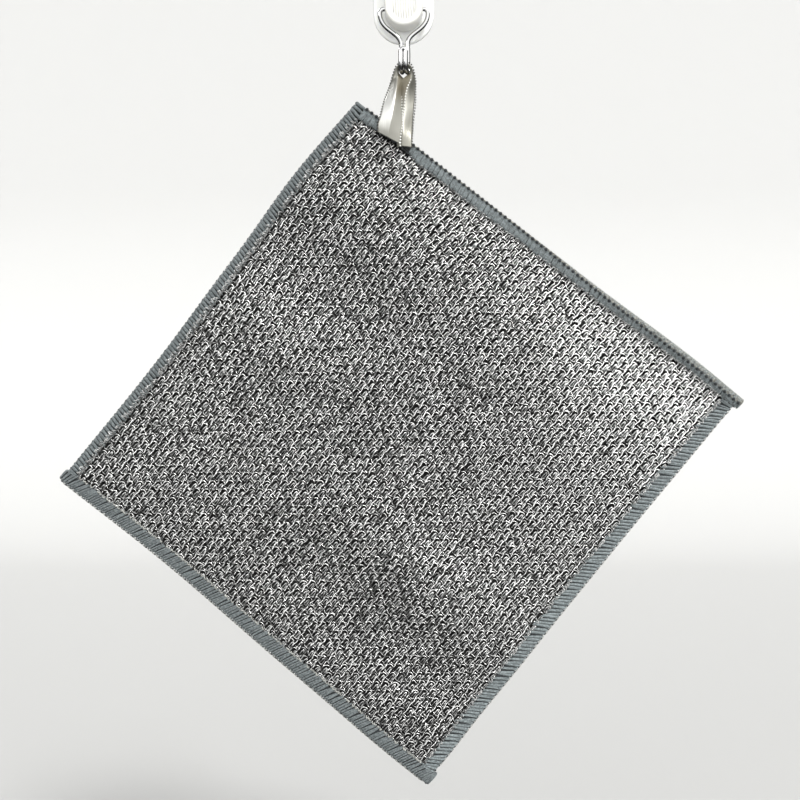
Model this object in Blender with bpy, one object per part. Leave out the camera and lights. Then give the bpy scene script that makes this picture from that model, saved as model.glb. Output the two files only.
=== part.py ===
# Wire dishwashing cloth hanging by its ribbon loop from a small wall hook.
#
# Units are metres. +Z is up, +X is to the right and the wall is the plane y = 0, with the cloth in
# front of it towards -Y. The origin is the middle of the hook's wall plate, on its back.
#
# The cloth and its edging are worked out flat first: u runs down the upper left side from the top
# corner, v runs along the upper right side from the same corner, and n stands off the sheet. The
# function drape then hangs every point, with the soft folds of the sheet and the waves of its edges.

import math

import bmesh
import bpy
from mathutils import Matrix, Vector

MM = 0.001

# The square cloth
SIDE = 200.0 * MM                # outside the edging, each way, before it is hung
TILT = math.radians(38.4)        # how far the upper right side falls from level
HANG_DEPTH = 11.0 * MM           # from the wall to the middle of the sheet at its top corner
SHEET_HALF = 1.0 * MM            # half the thickness of the double wire net
PRESSED_HALF = 0.6 * MM          # half its thickness where the edging presses it
FULL_LINE = 10.0 * MM            # how far in from its sides the net is its full thickness
FIELD_CELLS = 22                 # cells each way inside that line
SLOPE_STEP = 0.5 * MM            # how finely the fall of a fold is taken

# The overlocked edging
EDGING_WIDTH = 6.0 * MM
EDGING_WALL = 0.8 * MM
EDGING_BEND = 3.2 * MM           # a line along the middle of the edging, where it may bend
RIM_BEND = 0.6 * MM              # where its face turns to the rim
RIM_SHARE = 0.6                  # half the height of the rim, as a share of the whole
GAP = 0.3 * MM                   # between neighbouring pieces
OVERHANG = 1.5 * MM              # how far a covering run reaches past its corner
END_ROUNDING = 0.6 * MM          # length of the rounding on a covering end
END_SHRINK = 0.72                # size of the end face, as a share of the section

# Where the outer corners hang, and how far each stands in front of the top corner
CORNER_COLUMNS = ("name", "x", "z", "lift")
CORNERS = (
    ("top", -18.9, -48.5, 0.0),
    ("left", -143.1, -205.2, -2.5),
    ("right", 138.8, -172.2, 0.5),
    ("bottom", 8.9, -327.9, 4.0),
)

# Soft folds: where the crest lies, how far it reaches each way, and how high it stands
FOLD_COLUMNS = ("name", "u", "v", "reach_u", "reach_v", "rise")
FOLDS = (
    ("trough along the upper right side", 2.0, 135.0, 26.0, 95.0, -3.6),
    ("crest under that trough", 40.0, 70.0, 20.0, 70.0, 1.5),
    ("crest at the left", 98.0, 30.0, 17.0, 45.0, 2.0),
    ("trough above it", 64.0, 40.0, 16.0, 40.0, -1.2),
    ("long crest at the lower right", 139.0, 150.0, 17.0, 55.0, 2.4),
    ("trough below it", 164.0, 140.0, 14.0, 50.0, -1.4),
    ("crest near the bottom corner", 183.0, 182.0, 11.0, 24.0, 1.6),
    ("hollow at the lower left", 170.0, 45.0, 24.0, 40.0, 1.1),
)

# The upper right edge rolls forward towards the right corner
ROLL_RISE = 3.6 * MM
ROLL_WIDTH = 13.0 * MM
ROLL_START = 60.0 * MM
ROLL_FULL = 190.0 * MM

# Waves of the four sides in the plane of the cloth, outwards positive
WAVE_COLUMNS = ("side", "place", "reach", "out")
WAVES = (
    ("top_left", 40.0, 38.0, 2.3),
    ("top_left", 148.0, 42.0, -0.9),
    ("top_right", 45.0, 50.0, 0.6),
    ("top_right", 105.0, 36.0, 1.1),
    ("top_right", 170.0, 40.0, 2.0),
    ("bottom_left", 55.0, 52.0, -1.9),
    ("bottom_left", 178.0, 28.0, 0.6),
    ("bottom_right", 62.0, 75.0, -1.5),
    ("bottom_right", 140.0, 35.0, -0.4),
)

# The ribbon loop
RIBBON_WIDTH = 10.0 * MM
RIBBON_THICK = 1.0 * MM
RIBBON_STEPS = 3                 # sections from one table row to the next
RIBBON_FLANGE_CELLS = 3
# Each row is a place of the ribbon's middle line. The front and back halves of its width fold away
# from that line in the directions of the two angles, measured from +X towards the wall, and dip
# says how far the width slopes down to the right.
RIBBON_COLUMNS = ("name", "x", "y", "z", "front", "back", "dip", "width")
RIBBON_ROWS = (
    ("left end, sewn on the edging", -6.3, -15.3, -64.2, 180.0, 0.0, 33.0, 1.0),
    ("left end above the stitching", -5.9, -16.0, -60.8, 176.0, 4.0, 24.0, 1.0),
    ("left leg, low", -5.0, -16.3, -56.0, 162.0, 12.0, 12.0, 1.0),
    ("left leg, middle", -3.9, -15.6, -50.0, 148.0, 46.0, 5.0, 1.0),
    ("left leg, upper", -2.8, -13.4, -43.5, 132.0, 62.0, 0.0, 0.95),
    ("left leg under the hook", -2.6, -11.6, -38.9, 135.0, 84.0, 0.0, 0.85),
    ("right leg under the hook", 3.2, -11.4, -38.9, 50.0, 96.0, 0.0, 0.85),
    ("right leg, upper", 2.4, -11.6, -43.5, 50.0, 94.0, 0.0, 0.95),
    ("right leg, middle", 1.7, -12.0, -50.0, 58.0, 108.0, 5.0, 0.95),
    ("right leg, low", 0.1, -13.3, -57.0, 38.0, 152.0, 12.0, 1.0),
    ("right end above the stitching", -0.9, -14.2, -63.4, 10.0, 170.0, 24.0, 1.0),
    ("right end, sewn on the edging", -1.2, -13.8, -67.6, 0.0, 180.0, 33.0, 1.0),
)
LEFT_LEG_ROWS = 6                # the rest of the rows are the right leg, from the top down
SADDLE_WIDTH = 4.2 * MM          # the ribbon's width where the hook gathers it
SADDLE_RADIUS = 1.6 * MM         # bend of that width in the throat of the hook
SADDLE_TURNS = (-75.0, -45.0, -15.0, 15.0, 45.0, 75.0)  # degrees, sections over the wires
FLANGE_BEND = 0.3 * MM           # rounding along the middle line of a folded leg

# The wire hook
WIRE_RADIUS = 0.95 * MM          # with its bright coating
WIRE_DEPTH = 6.5 * MM            # from the wall to the hanging legs
WIRE_END_X = 5.6 * MM            # where a wire end stops inside the hook body
PIVOT_Z = -8.3 * MM              # the two ends of the wire turn in the body at this height
BOW_HALF = 10.0 * MM             # half the width of the bow beside the body
BOW_CORNER = 1.7 * MM            # radius of its upper corners
BOW_TURN_Z = -17.4 * MM          # the bow's sides aim for this height before they turn in
NECK_TURN_Z = -17.8 * MM         # and the neck's sides aim back up for this one
NECK_Z = -23.0 * MM              # the two legs run side by side below this
NECK_HALF = 1.35 * MM            # half the spacing of the two legs at the neck
LEG_HALF = 1.03 * MM             # and in the throat
THROAT_RADIUS = 3.4 * MM
THROAT_Z = -32.1 * MM            # centre of the throat's turn
TIP_Z = -27.9 * MM               # centre of the turn that joins the legs at the tip
HOOK_SHIFT = 0.2 * MM            # how far the tip has swung to the right
HOOK_TWIST = math.radians(9.0)   # and how far it has turned about its upright axis
BOW_STEPS = 10
CORNER_STEPS = 4
THROAT_STEPS = 9
TIP_STEPS = 6

# The hook body and its wall plate
PLATE_WIDTH = 25.4 * MM
PLATE_HEIGHT = 42.8 * MM
PLATE_THICK = 2.0 * MM
BODY_WIDTH = 16.0 * MM
BODY_HEIGHT = 32.8 * MM
BODY_FRONT = 11.0 * MM
BODY_ROUNDING = 0.8 * MM
PANEL_WIDTH = 10.1 * MM
PANEL_HEIGHT = 28.6 * MM
PANEL_DEPTH = 0.6 * MM
PIVOT_HOLE_RADIUS = 1.25 * MM
PIVOT_HOLE_END_X = 5.2 * MM      # each hole's bottom, from the middle of the body
PIVOT_HOLE_SIDES = 16
PILL_ARC_STEPS = 14
SMOOTH_ANGLE = 40.0              # degrees, edges softer than this are shaded smooth


def clear_scene():
    for item in list(bpy.data.objects):
        bpy.data.objects.remove(item, do_unlink=True)


def make_material(name, colour, roughness, metallic):
    material = bpy.data.materials.new(name)
    material.use_nodes = True
    shader = material.node_tree.nodes["Principled BSDF"]
    shader.inputs["Base Color"].default_value = (*colour, 1.0)
    shader.inputs["Roughness"].default_value = roughness
    shader.inputs["Metallic"].default_value = metallic
    return material


def make_object(name, points, faces, material, smooth=False):
    mesh = bpy.data.meshes.new(name)
    mesh.from_pydata([tuple(point) for point in points], [], faces)
    shell = bmesh.new()
    shell.from_mesh(mesh)
    bmesh.ops.recalc_face_normals(shell, faces=shell.faces)
    shell.to_mesh(mesh)
    shell.free()
    mesh.materials.append(material)
    if smooth:
        mesh.shade_smooth()
        mesh.set_sharp_from_angle(angle=math.radians(SMOOTH_ANGLE))
    item = bpy.data.objects.new(name, mesh)
    bpy.context.scene.collection.objects.link(item)
    return item


# ---- hanging the flat cloth

def bell(distance, reach):
    return math.exp(-((distance / reach) ** 2))


def ease(value):
    value = min(1.0, max(0.0, value))
    return value * value * (3.0 - 2.0 * value)


def between_corners(u, v):
    """The place of a point between the four corners: x, how far it stands forward, and z."""
    s, t = u / SIDE, v / SIDE
    shares = ((1 - s) * (1 - t), s * (1 - t), (1 - s) * t, s * t)
    place = Vector((0.0, 0.0, 0.0))
    for row, share in zip(CORNERS, shares):
        corner = dict(zip(CORNER_COLUMNS, row))
        place += Vector((corner["x"], corner["lift"], corner["z"])) * MM * share
    return place


def lift(u, v):
    """How far the sheet stands towards the front at a place of the flat cloth."""
    height = between_corners(u, v).y
    for row in FOLDS:
        fold = dict(zip(FOLD_COLUMNS, row))
        across = bell(u - fold["u"] * MM, fold["reach_u"] * MM)
        along = bell(v - fold["v"] * MM, fold["reach_v"] * MM)
        height += fold["rise"] * MM * across * along
    if u < ROLL_WIDTH:
        grown = ease((v - ROLL_START) / (ROLL_FULL - ROLL_START))
        height += ROLL_RISE * grown * (1.0 - u / ROLL_WIDTH) ** 2
    return height


def side_wave(side, place):
    out = 0.0
    for row in WAVES:
        wave = dict(zip(WAVE_COLUMNS, row))
        if wave["side"] == side:
            out += wave["out"] * MM * bell(place - wave["place"] * MM, wave["reach"] * MM)
    return out


def drape(u, v, n):
    """Hang one point of the flat cloth."""
    down_left = Vector((-math.sin(TILT), 0.0, -math.cos(TILT)))
    down_right = Vector((math.cos(TILT), 0.0, -math.sin(TILT)))
    front = Vector((0.0, -1.0, 0.0))
    s, t = u / SIDE, v / SIDE
    wave_u = s * side_wave("bottom_left", v) - (1 - s) * side_wave("top_right", v)
    wave_v = t * side_wave("bottom_right", u) - (1 - t) * side_wave("top_left", u)
    slope_u = (lift(u + SLOPE_STEP, v) - lift(u - SLOPE_STEP, v)) / (2 * SLOPE_STEP)
    slope_v = (lift(u, v + SLOPE_STEP) - lift(u, v - SLOPE_STEP)) / (2 * SLOPE_STEP)
    normal = (front - down_left * slope_u - down_right * slope_v).normalized()
    flat = between_corners(u, v)
    base = Vector((flat.x, -HANG_DEPTH, flat.z))
    return base + down_left * wave_u + down_right * wave_v + front * lift(u, v) + normal * n


# ---- the cloth

def cloth_lines():
    """The grid lines of the sheet, the same each way: pressed borders and an even field."""
    first = EDGING_WALL + GAP
    border = [first, EDGING_BEND, EDGING_WIDTH, FULL_LINE]
    width = (SIDE - 2 * border[-1]) / FIELD_CELLS
    field = [border[-1] + width * i for i in range(1, FIELD_CELLS)]
    return border + field + [SIDE - place for place in reversed(border)]


def sheet_half(u, v):
    inside = min(u, v, SIDE - u, SIDE - v)
    grown = (inside - EDGING_WIDTH) / (FULL_LINE - EDGING_WIDTH)
    return PRESSED_HALF + (SHEET_HALF - PRESSED_HALF) * min(1.0, max(0.0, grown))


def make_cloth(material):
    lines = cloth_lines()
    count = len(lines)
    points = []
    for side in (1.0, -1.0):
        for u in lines:
            for v in lines:
                points.append(drape(u, v, side * sheet_half(u, v)))
    back = count * count
    faces = []
    for i in range(count - 1):
        for j in range(count - 1):
            a = i * count + j
            faces.append((a, a + 1, a + count + 1, a + count))
            faces.append((back + a, back + a + count, back + a + count + 1, back + a + 1))
    rim = [j for j in range(count)]
    rim += [i * count + count - 1 for i in range(1, count)]
    rim += [(count - 1) * count + j for j in range(count - 2, -1, -1)]
    rim += [i * count for i in range(count - 2, 0, -1)]
    for a, b in zip(rim, rim[1:] + rim[:1]):
        faces.append((a, back + a, back + b, b))
    return make_object("mesh_cloth", points, faces, material)


# ---- the edging

# The section of a run: its distance in from the outer side, and how far it stands off the sheet
def outer_section():
    skin = PRESSED_HALF + GAP + EDGING_WALL
    half = ((EDGING_WIDTH, skin), (EDGING_BEND, skin), (RIM_BEND, skin),
            (0.0, RIM_SHARE * skin))
    return list(half) + [(inset, -height) for inset, height in reversed(half)]


def inner_section():
    pocket = PRESSED_HALF + GAP
    half = ((EDGING_WIDTH, pocket), (EDGING_BEND, pocket), (EDGING_WALL, pocket))
    return list(half) + [(inset, -height) for inset, height in reversed(half)]


# Which side of the cloth a run covers, and whether each of its ends runs over the corner
RUN_COLUMNS = ("name", "side", "start_covers", "end_covers")
RUNS = (
    ("edging_top_left", "top_left", True, False),
    ("edging_bottom_left", "bottom_left", True, True),
    ("edging_bottom_right", "bottom_right", False, False),
    ("edging_top_right", "top_right", False, True),
)


def place_on_side(side, along, inset):
    """The flat place of a point of a run: how far along its side, and how far in from it."""
    if side == "top_left":
        return along, inset
    if side == "bottom_left":
        return SIDE - inset, along
    if side == "bottom_right":
        return along, SIDE - inset
    return inset, along


def run_stations(run):
    """The places along a run, each with how full its section is there."""
    lines = cloth_lines()
    stations = []
    butt = EDGING_WIDTH + GAP
    if run["start_covers"]:
        overhang = OVERHANG if run["side"] != "top_left" else GAP
        stations.append((-overhang, END_SHRINK))
        stations.append((-overhang + END_ROUNDING, 1.0))
        stations.append((EDGING_WALL, 1.0))
        stations += [(line, 1.0) for line in lines if line < butt]
    else:
        stations.append((butt, 1.0))
    stations += [(line, 1.0) for line in lines if butt < line < SIDE - butt]
    if run["end_covers"]:
        stations += [(line, 1.0) for line in lines if line > SIDE - butt]
        stations.append((SIDE - EDGING_WALL, 1.0))
        stations.append((SIDE + OVERHANG - END_ROUNDING, 1.0))
        stations.append((SIDE + OVERHANG, END_SHRINK))
    else:
        stations.append((SIDE - butt, 1.0))
    return stations


def make_run(run, material):
    outer = outer_section()
    inner = inner_section()
    stations = run_stations(run)
    middle = EDGING_WIDTH / 2
    outer_rings, inner_rings = [], []
    points = []
    for along, full in stations:
        ring = []
        for inset, height in outer:
            inset = middle + (inset - middle) * full
            u, v = place_on_side(run["side"], along, inset)
            ring.append(len(points))
            points.append(drape(u, v, height * full))
        outer_rings.append(ring)
    first = 2 if run["start_covers"] else 0
    last = len(stations) - 3 if run["end_covers"] else len(stations) - 1
    for along, _ in stations[first:last + 1]:
        ring = []
        for inset, height in inner:
            u, v = place_on_side(run["side"], along, inset)
            ring.append(len(points))
            points.append(drape(u, v, height))
        inner_rings.append(ring)
    faces = []
    for a, b in zip(outer_rings, outer_rings[1:]):
        for k in range(len(outer) - 1):
            faces.append((a[k], a[k + 1], b[k + 1], b[k]))
    for a, b in zip(inner_rings, inner_rings[1:]):
        for k in range(len(inner) - 1):
            faces.append((a[k], b[k], b[k + 1], a[k + 1]))
    for index in range(first, last):
        a, b = outer_rings[index], outer_rings[index + 1]
        c, d = inner_rings[index - first], inner_rings[index - first + 1]
        faces.append((a[0], b[0], d[0], c[0]))
        faces.append((b[-1], a[-1], c[-1], d[-1]))
    if run["start_covers"]:
        a, b, c = outer_rings[0], outer_rings[1], outer_rings[2]
        faces.append(tuple(a))
        faces.append((a[0], b[0], b[-1], a[-1]))
        faces.append((b[0], c[0], inner_rings[0][0], inner_rings[0][-1], c[-1], b[-1]))
        faces.append(tuple(inner_rings[0]))
    else:
        faces.append(tuple(outer_rings[0] + list(reversed(inner_rings[0]))))
    if run["end_covers"]:
        a, b, c = outer_rings[-1], outer_rings[-2], outer_rings[-3]
        faces.append(tuple(a))
        faces.append((a[0], b[0], b[-1], a[-1]))
        faces.append((b[0], c[0], inner_rings[-1][0], inner_rings[-1][-1], c[-1], b[-1]))
        faces.append(tuple(inner_rings[-1]))
    else:
        faces.append(tuple(outer_rings[-1] + list(reversed(inner_rings[-1]))))
    return make_object(run["name"], points, faces, material)


# ---- the ribbon loop

def smooth_between(before, start, end, after, share):
    """A point on the smooth curve that passes through start and end."""
    s2, s3 = share * share, share ** 3
    value = 2 * start + (end - before) * share
    value += (2 * before - 5 * start + 4 * end - after) * s2
    value += (3 * start - before - 3 * end + after) * s3
    return value / 2


def smooth_rows(rows, steps):
    """The table's rows with extra sections between them."""
    out = []
    for i in range(len(rows) - 1):
        before = rows[max(0, i - 1)]
        after = rows[min(len(rows) - 1, i + 2)]
        for k in range(steps):
            parts = zip(before, rows[i], rows[i + 1], after)
            out.append(tuple(smooth_between(a, b, c, d, k / steps) for a, b, c, d in parts))
    out.append(tuple(rows[-1]))
    return out


def leg_sections(rows):
    """Sections of one hanging leg: for each, the points across the ribbon's width."""
    sections = []
    for x, y, z, front, back, dip, width in smooth_rows(rows, RIBBON_STEPS):
        middle = Vector((x, y, z)) * MM
        ways = []
        for angle in (front, back):
            turn = math.radians(angle)
            fall = math.radians(dip) * math.cos(turn)
            way = Vector((math.cos(turn) * math.cos(fall), math.sin(turn), -math.sin(fall)))
            ways.append(way.normalized())
        reach = RIBBON_WIDTH / 2 * width
        line = []
        for k in range(RIBBON_FLANGE_CELLS, 0, -1):
            line.append(middle + ways[0] * reach * k / RIBBON_FLANGE_CELLS)
        bend = ways[0] + ways[1]
        line.append(middle + bend * FLANGE_BEND)
        for k in range(1, RIBBON_FLANGE_CELLS + 1):
            line.append(middle + ways[1] * reach * k / RIBBON_FLANGE_CELLS)
        sections.append(line)
    return sections


def saddle_sections():
    """Sections where the ribbon lies over the two wires in the throat of the hook."""
    turned = Matrix.Rotation(-HOOK_TWIST, 3, "Z")
    centre = Vector((HOOK_SHIFT, -(WIRE_DEPTH + THROAT_RADIUS), THROAT_Z - THROAT_RADIUS))
    standoff = WIRE_RADIUS + GAP + RIBBON_THICK / 2
    sections = []
    for turn in SADDLE_TURNS:
        out = math.radians(turn)
        away = Vector((math.sin(out), 0.0, math.cos(out)))
        line = []
        seat = Vector((math.copysign(LEG_HALF, turn), 0.0, 0.0)) + away * standoff
        arc = SADDLE_RADIUS * math.pi / 2
        for k in range(-RIBBON_FLANGE_CELLS, RIBBON_FLANGE_CELLS + 1):
            across = SADDLE_WIDTH / 2 * k / RIBBON_FLANGE_CELLS
            size = min(abs(across), arc)
            bend = size / SADDLE_RADIUS
            side = math.copysign(SADDLE_RADIUS * math.sin(bend), across) if across else 0.0
            rise = SADDLE_RADIUS * (1.0 - math.cos(bend)) + abs(across) - size
            line.append(centre + turned @ (seat + Vector((0.0, side, 0.0)) + away * rise))
        sections.append(line)
    return sections


def make_ribbon(material):
    rows = [row[1:] for row in RIBBON_ROWS]
    left = leg_sections(rows[:LEFT_LEG_ROWS])
    right = leg_sections(rows[LEFT_LEG_ROWS:])
    sections = left + saddle_sections() + right
    count, wide = len(sections), len(sections[0])

    def normal_at(i, j):
        before, after = sections[max(0, i - 1)][j], sections[min(count - 1, i + 1)][j]
        left_side, right_side = sections[i][max(0, j - 1)], sections[i][min(wide - 1, j + 1)]
        return (after - before).cross(right_side - left_side).normalized()

    points = []
    for side in (0.5, -0.5):
        for i in range(count):
            for j in range(wide):
                points.append(sections[i][j] + normal_at(i, j) * RIBBON_THICK * side)
    back = count * wide
    faces = []
    for i in range(count - 1):
        for j in range(wide - 1):
            a = i * wide + j
            faces.append((a, a + wide, a + wide + 1, a + 1))
            faces.append((back + a, back + a + 1, back + a + wide + 1, back + a + wide))
    rim = [j for j in range(wide)]
    rim += [i * wide + wide - 1 for i in range(1, count)]
    rim += [(count - 1) * wide + j for j in range(wide - 2, -1, -1)]
    rim += [i * wide for i in range(count - 2, 0, -1)]
    for a, b in zip(rim, rim[1:] + rim[:1]):
        faces.append((a, b, back + b, back + a))
    return make_object("ribbon_loop", points, faces, material)


# ---- the wire hook

def arc_points(centre, start_way, end_way, radius, steps):
    """A quarter or half turn from one direction towards another, both seen from the centre."""
    points = []
    for k in range(steps + 1):
        turn = k / steps * start_way.angle(end_way)
        ahead = (end_way - start_way * start_way.dot(end_way)).normalized()
        points.append(centre + (start_way * math.cos(turn) + ahead * math.sin(turn)) * radius)
    return points


def bezier_points(a, b, c, d, steps):
    points = []
    for k in range(1, steps + 1):
        t = k / steps
        s = 1.0 - t
        points.append(a * s ** 3 + b * (3 * s * s * t) + c * (3 * s * t * t) + d * t ** 3)
    return points


def half_hook_points():
    """The left half of the wire, from its end in the hook body to the top of the tip."""
    back = Vector((0.0, -WIRE_DEPTH, 0.0))
    left, up, front = Vector((-1, 0, 0)), Vector((0, 0, 1)), Vector((0, -1, 0))
    points = [back + Vector((-WIRE_END_X, 0.0, PIVOT_Z))]
    corner = back + Vector((BOW_CORNER - BOW_HALF, 0.0, PIVOT_Z - BOW_CORNER))
    points += arc_points(corner, up, left, BOW_CORNER, CORNER_STEPS)
    bow = points[-1]
    turn = back + Vector((-BOW_HALF, 0.0, BOW_TURN_Z))
    neck_turn = back + Vector((-NECK_HALF, 0.0, NECK_TURN_Z))
    neck = back + Vector((-NECK_HALF, 0.0, NECK_Z))
    points += bezier_points(bow, turn, neck_turn, neck, BOW_STEPS)
    throat = back + Vector((-LEG_HALF, 0.0, THROAT_Z)) + front * THROAT_RADIUS
    points += arc_points(throat, -front, -up, THROAT_RADIUS, THROAT_STEPS)
    points += arc_points(throat, -up, front, THROAT_RADIUS, THROAT_STEPS)[1:]
    tip = back + front * 2 * THROAT_RADIUS + Vector((0.0, 0.0, TIP_Z))
    points += arc_points(tip, left, up, LEG_HALF, TIP_STEPS)
    return points


def twist_leg(point):
    """Turn the hanging part of the hook a little about its own upright axis."""
    share = ease((BOW_TURN_Z - point.z) / (BOW_TURN_Z - THROAT_Z))
    axis = Vector((0.0, -(WIRE_DEPTH + THROAT_RADIUS), 0.0))
    turned = Matrix.Rotation(-HOOK_TWIST * share, 3, "Z") @ (point - axis) + axis
    return turned + Vector((HOOK_SHIFT * share, 0.0, 0.0))


def make_wire(material):
    half = half_hook_points()
    mirrored = [Vector((-point.x, point.y, point.z)) for point in reversed(half[:-1])]
    points = [twist_leg(point) for point in half + mirrored]
    curve = bpy.data.curves.new("hook_wire", "CURVE")
    curve.dimensions = "3D"
    curve.bevel_depth = WIRE_RADIUS
    curve.bevel_resolution = 2
    curve.use_fill_caps = True
    spline = curve.splines.new("POLY")
    spline.points.add(len(points) - 1)
    for spot, point in zip(spline.points, points):
        spot.co = (*point, 1.0)
    curve.materials.append(material)
    item = bpy.data.objects.new("hook_wire", curve)
    bpy.context.scene.collection.objects.link(item)
    return item


# ---- the hook body and its plate

def pill_outline(width, height):
    """An upright outline with round ends, in x and z."""
    radius = width / 2
    straight = height / 2 - radius
    outline = []
    for end, start_angle in ((1.0, 0.0), (-1.0, math.pi)):
        for k in range(PILL_ARC_STEPS + 1):
            turn = start_angle + math.pi * k / PILL_ARC_STEPS
            outline.append((radius * math.cos(turn), end * straight + radius * math.sin(turn)))
    return outline


def make_pill(name, width, height, back_y, front_y, material):
    outline = pill_outline(width, height)
    count = len(outline)
    points = [(x, back_y, z) for x, z in outline] + [(x, front_y, z) for x, z in outline]
    faces = [tuple(range(count)), tuple(range(2 * count - 1, count - 1, -1))]
    for k in range(count):
        other = (k + 1) % count
        faces.append((k, k + count, other + count, other))
    return make_object(name, points, faces, material, smooth=True)


def hide_cutter(item):
    item.hide_render = True
    item.display_type = "WIRE"


def cut(item, cutter):
    hide_cutter(cutter)
    boolean = item.modifiers.new("cut " + cutter.name, "BOOLEAN")
    boolean.operation = "DIFFERENCE"
    boolean.solver = "EXACT"
    boolean.object = cutter


def make_body(material):
    back = -(PLATE_THICK + GAP)
    body = make_pill("hook_body", BODY_WIDTH, BODY_HEIGHT, back, -BODY_FRONT, material)
    bevel = body.modifiers.new("soft front edge", "BEVEL")
    bevel.width = BODY_ROUNDING
    bevel.segments = 2
    bevel.limit_method = "ANGLE"
    bevel.angle_limit = math.radians(60)
    panel = make_pill("panel_cutter", PANEL_WIDTH, PANEL_HEIGHT, PANEL_DEPTH - BODY_FRONT,
                      -BODY_FRONT - 2 * PANEL_DEPTH, material)
    cut(body, panel)
    for side in (-1.0, 1.0):
        hole = bmesh.new()
        length = BODY_WIDTH / 2 - PIVOT_HOLE_END_X + GAP
        bmesh.ops.create_cone(hole, cap_ends=True, segments=PIVOT_HOLE_SIDES,
                              radius1=PIVOT_HOLE_RADIUS, radius2=PIVOT_HOLE_RADIUS, depth=length)
        mesh = bpy.data.meshes.new("pivot_hole_cutter")
        hole.to_mesh(mesh)
        hole.free()
        cutter = bpy.data.objects.new("pivot_hole_cutter", mesh)
        bpy.context.scene.collection.objects.link(cutter)
        cutter.rotation_euler = (0.0, math.pi / 2, 0.0)
        cutter.location = (side * (PIVOT_HOLE_END_X + length / 2), -WIRE_DEPTH, PIVOT_Z)
        cut(body, cutter)
    return body


def build():
    clear_scene()
    net = make_material("silver wire net", (0.35, 0.36, 0.355), 0.35, 0.9)
    yarn = make_material("slate edging yarn", (0.185, 0.215, 0.225), 0.85, 0.0)
    satin = make_material("white satin ribbon", (0.78, 0.77, 0.71), 0.4, 0.0)
    bright_wire = make_material("bright wire", (0.8, 0.8, 0.8), 0.12, 1.0)
    white_plastic = make_material("white plastic", (0.85, 0.85, 0.82), 0.3, 0.0)
    plate_plastic = make_material("plate plastic", (0.88, 0.88, 0.86), 0.2, 0.0)
    make_cloth(net)
    for row in RUNS:
        make_run(dict(zip(RUN_COLUMNS, row)), yarn)
    make_ribbon(satin)
    make_wire(bright_wire)
    make_body(white_plastic)
    make_pill("hook_base", PLATE_WIDTH, PLATE_HEIGHT, 0.0, -PLATE_THICK, plate_plastic)


build()
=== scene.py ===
import math

import bmesh
import bpy
import numpy as np
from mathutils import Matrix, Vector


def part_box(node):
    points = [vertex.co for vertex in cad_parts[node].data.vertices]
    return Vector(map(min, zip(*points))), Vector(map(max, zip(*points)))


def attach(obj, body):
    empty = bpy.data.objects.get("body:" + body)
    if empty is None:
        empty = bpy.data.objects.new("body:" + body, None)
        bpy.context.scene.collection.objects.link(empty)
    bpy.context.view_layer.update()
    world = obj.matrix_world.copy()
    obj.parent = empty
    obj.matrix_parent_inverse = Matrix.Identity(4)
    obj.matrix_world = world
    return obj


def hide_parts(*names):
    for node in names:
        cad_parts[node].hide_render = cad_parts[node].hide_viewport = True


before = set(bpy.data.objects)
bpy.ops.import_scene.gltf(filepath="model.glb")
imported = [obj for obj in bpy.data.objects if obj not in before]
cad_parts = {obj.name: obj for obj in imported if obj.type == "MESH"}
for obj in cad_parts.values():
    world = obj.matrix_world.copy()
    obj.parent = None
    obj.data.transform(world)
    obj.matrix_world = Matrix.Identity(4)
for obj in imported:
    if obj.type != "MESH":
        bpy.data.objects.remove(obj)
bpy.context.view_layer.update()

mm = 0.001
scene = bpy.context.scene
print("frame loaded")


# small helpers that every piece uses

def row(*values):
    return np.array(values, float)


def unit(vectors):
    return vectors / np.maximum(np.linalg.norm(vectors, axis=-1, keepdims=True), 1e-9)


def bell(distance, reach):
    return np.exp(-(distance / reach) ** 2)


def ease(value):
    value = np.clip(value, 0.0, 1.0)
    return value * value * (3.0 - 2.0 * value)


def smoothNoise(draws, count, length, rng):
    # a row of random numbers for each strand, eased from one to the next
    knots = max(3, int(length) + 2)
    values = rng.standard_normal((draws, knots))
    places = np.linspace(0.0, knots - 1.001, count)
    low = places.astype(int)
    share = ease(places - low)
    return values[:, low] * (1 - share) + values[:, low + 1] * share


def addItem(name, data):
    item = bpy.data.objects.new(name, data)
    scene.collection.objects.link(item)
    return item


def addMesh(name, points, faces, material):
    mesh = bpy.data.meshes.new(name)
    mesh.from_pydata(points, [], faces)
    mesh.materials.append(material)
    mesh.shade_smooth()
    return addItem(name, mesh)


def addPiece(name, points, faces, material, slotName):
    piece = addMesh(name, (np.asarray(points) * mm).tolist(), faces, material)
    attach(piece, "root")
    return piece


def ringFaces(strands, count, sides):
    # faces of closed tubes: how many strands, rings in each, sides of a ring
    first = np.arange(strands)[:, None, None] * count * sides
    a = first + np.arange(count - 1)[None, :, None] * sides + np.arange(sides)
    b = first + np.arange(count - 1)[None, :, None] * sides + (np.arange(sides) + 1) % sides
    quads = np.stack([a, a + sides, b + sides, b], -1).reshape(-1, 4)
    starts = first[:, 0] + np.arange(sides)
    ends = first[:, 0] + (count - 1) * sides + np.arange(sides)[::-1]
    return quads.tolist() + starts.tolist() + ends.tolist()


def loft(rings):
    rings = np.array(rings, float)
    return rings.reshape(-1, 3), ringFaces(1, *rings.shape[:2])


def tubes(paths, sideways, wide, high, sides):
    # closed tubes along many paths at once: paths and sideways are strands x points x 3
    strands, count, _ = paths.shape
    along = unit(np.gradient(paths, axis=1))
    across = unit(sideways - along * (sideways * along).sum(-1, keepdims=True))
    up = np.cross(across, along)
    turns = np.arange(sides) / sides * 2 * math.pi + math.pi / 2
    wide = np.broadcast_to(wide, (strands, count))[..., None, None]
    high = np.broadcast_to(high, (strands, count))[..., None, None]
    ring = np.cos(turns)[:, None] * across[:, :, None] * wide
    ring = ring + np.sin(turns)[:, None] * up[:, :, None] * high
    return (paths[:, :, None] + ring).reshape(-1, 3), ringFaces(strands, count, sides)


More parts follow.
